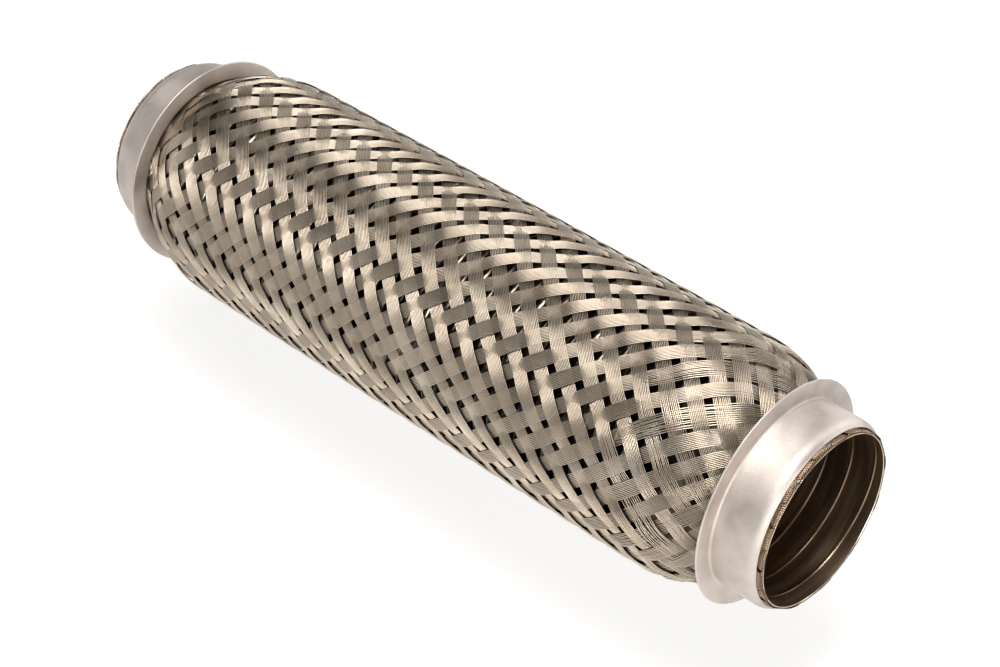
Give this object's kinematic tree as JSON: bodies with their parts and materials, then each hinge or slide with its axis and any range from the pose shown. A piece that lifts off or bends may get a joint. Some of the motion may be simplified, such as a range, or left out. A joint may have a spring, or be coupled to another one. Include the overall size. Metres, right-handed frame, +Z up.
{
  "type": "metal bellows expansion joint",
  "caption": "Braided flexible pipe: flanged sleeve ends, a woven wire braid over corrugated bellows and an interlocked liner, which bends, stretches and shortens.",
  "frame": {"origin": "middle of the pipe on its axis", "axes": "+X along the pipe's axis towards the right end, +Z up, +Y across"},
  "size_m": [0.305, 0.0858, 0.0858],
  "materials": {
    "collar_steel": "satin stainless steel sheet, pressed",
    "braid_wire": "bright drawn stainless wire",
    "bellows_steel": "bright rolled stainless foil",
    "liner_steel": "cold rolled stainless strip"
  },
  "bodies": {
    "right_end": {"right_collar": "collar_steel", "right_braid_end": "braid_wire", "right_bellows_outer_ply_end": "bellows_steel", "right_bellows_inner_ply_end": "bellows_steel", "right_liner_end": "liner_steel"},
    "link_01": {"braid_band_01": "braid_wire", "bellows_outer_ply_01": "bellows_steel", "bellows_inner_ply_01": "bellows_steel", "liner_turns_01": "liner_steel"},
    "link_02": {"braid_band_02": "braid_wire", "bellows_outer_ply_02": "bellows_steel", "bellows_inner_ply_02": "bellows_steel", "liner_turns_02": "liner_steel"},
    "link_03": {"braid_band_03": "braid_wire", "bellows_outer_ply_03": "bellows_steel", "bellows_inner_ply_03": "bellows_steel", "liner_turns_03": "liner_steel"},
    "link_04": {"braid_band_04": "braid_wire", "bellows_outer_ply_04": "bellows_steel", "bellows_inner_ply_04": "bellows_steel", "liner_turns_04": "liner_steel"},
    "link_05": {"braid_band_05": "braid_wire", "bellows_outer_ply_05": "bellows_steel", "bellows_inner_ply_05": "bellows_steel", "liner_turns_05": "liner_steel"},
    "link_06": {"braid_band_06": "braid_wire", "bellows_outer_ply_06": "bellows_steel", "bellows_inner_ply_06": "bellows_steel", "liner_turns_06": "liner_steel"},
    "link_07": {"braid_band_07": "braid_wire", "bellows_outer_ply_07": "bellows_steel", "bellows_inner_ply_07": "bellows_steel", "liner_turns_07": "liner_steel"},
    "link_08": {"braid_band_08": "braid_wire", "bellows_outer_ply_08": "bellows_steel", "bellows_inner_ply_08": "bellows_steel", "liner_turns_08": "liner_steel"},
    "link_09": {"braid_band_09": "braid_wire", "bellows_outer_ply_09": "bellows_steel", "bellows_inner_ply_09": "bellows_steel", "liner_turns_09": "liner_steel"},
    "link_10": {"braid_band_10": "braid_wire", "bellows_outer_ply_10": "bellows_steel", "bellows_inner_ply_10": "bellows_steel", "liner_turns_10": "liner_steel"},
    "link_11": {"braid_band_11": "braid_wire", "bellows_outer_ply_11": "bellows_steel", "bellows_inner_ply_11": "bellows_steel", "liner_turns_11": "liner_steel"},
    "left_end": {"left_collar": "collar_steel", "left_braid_end": "braid_wire", "left_bellows_outer_ply_end": "bellows_steel", "left_bellows_inner_ply_end": "bellows_steel", "left_liner_end": "liner_steel"}
  },
  "joints": [
    {"name": "axial_1", "type": "slide", "parent": "right_end", "child": "link_01", "axis": [-1, 0, 0], "range_m": [-0.00225, 0.00125], "stiffness_N_per_m": 20000},
    {"name": "right_pitch_1", "type": "hinge", "parent": "link_01", "child": "link_02", "pos_m": [0.081, 0, 0], "axis": [0, 1, 0], "range_deg": [-2.5, 2.5], "stiffness_Nm_per_rad": 80},
    {"name": "right_yaw_1", "type": "hinge", "parent": "link_02", "child": "link_03", "pos_m": [0.063, 0, 0], "axis": [0, 0, 1], "range_deg": [-2.5, 2.5], "stiffness_Nm_per_rad": 80},
    {"name": "axial_2", "type": "slide", "parent": "link_03", "child": "link_04", "axis": [-1, 0, 0], "range_m": [-0.00225, 0.00125], "stiffness_N_per_m": 20000},
    {"name": "right_pitch_2", "type": "hinge", "parent": "link_04", "child": "link_05", "pos_m": [0.027, 0, 0], "axis": [0, 1, 0], "range_deg": [-2.5, 2.5], "stiffness_Nm_per_rad": 80},
    {"name": "right_yaw_2", "type": "hinge", "parent": "link_05", "child": "link_06", "pos_m": [0.009, 0, 0], "axis": [0, 0, 1], "range_deg": [-2.5, 2.5], "stiffness_Nm_per_rad": 80},
    {"name": "left_yaw_1", "type": "hinge", "parent": "link_06", "child": "link_07", "pos_m": [-0.009, 0, 0], "axis": [0, 0, 1], "range_deg": [-2.5, 2.5], "stiffness_Nm_per_rad": 80},
    {"name": "left_pitch_1", "type": "hinge", "parent": "link_07", "child": "link_08", "pos_m": [-0.027, 0, 0], "axis": [0, 1, 0], "range_deg": [-2.5, 2.5], "stiffness_Nm_per_rad": 80},
    {"name": "axial_3", "type": "slide", "parent": "link_08", "child": "link_09", "axis": [-1, 0, 0], "range_m": [-0.00225, 0.00125], "stiffness_N_per_m": 20000},
    {"name": "left_yaw_2", "type": "hinge", "parent": "link_09", "child": "link_10", "pos_m": [-0.063, 0, 0], "axis": [0, 0, 1], "range_deg": [-2.5, 2.5], "stiffness_Nm_per_rad": 80},
    {"name": "left_pitch_2", "type": "hinge", "parent": "link_10", "child": "link_11", "pos_m": [-0.081, 0, 0], "axis": [0, 1, 0], "range_deg": [-2.5, 2.5], "stiffness_Nm_per_rad": 80},
    {"name": "axial_4", "type": "slide", "parent": "link_11", "child": "left_end", "axis": [-1, 0, 0], "range_m": [-0.00225, 0.00125], "stiffness_N_per_m": 20000}
  ],
  "couplings": [
    {"joint": "axial_2", "follows": "axial_1", "ratio": 1},
    {"joint": "right_pitch_2", "follows": "right_pitch_1", "ratio": 1},
    {"joint": "right_yaw_2", "follows": "right_yaw_1", "ratio": 1},
    {"joint": "axial_3", "follows": "axial_1", "ratio": 1},
    {"joint": "left_yaw_2", "follows": "left_yaw_1", "ratio": 1},
    {"joint": "left_pitch_2", "follows": "left_pitch_1", "ratio": 1},
    {"joint": "axial_4", "follows": "axial_1", "ratio": 1}
  ]
}
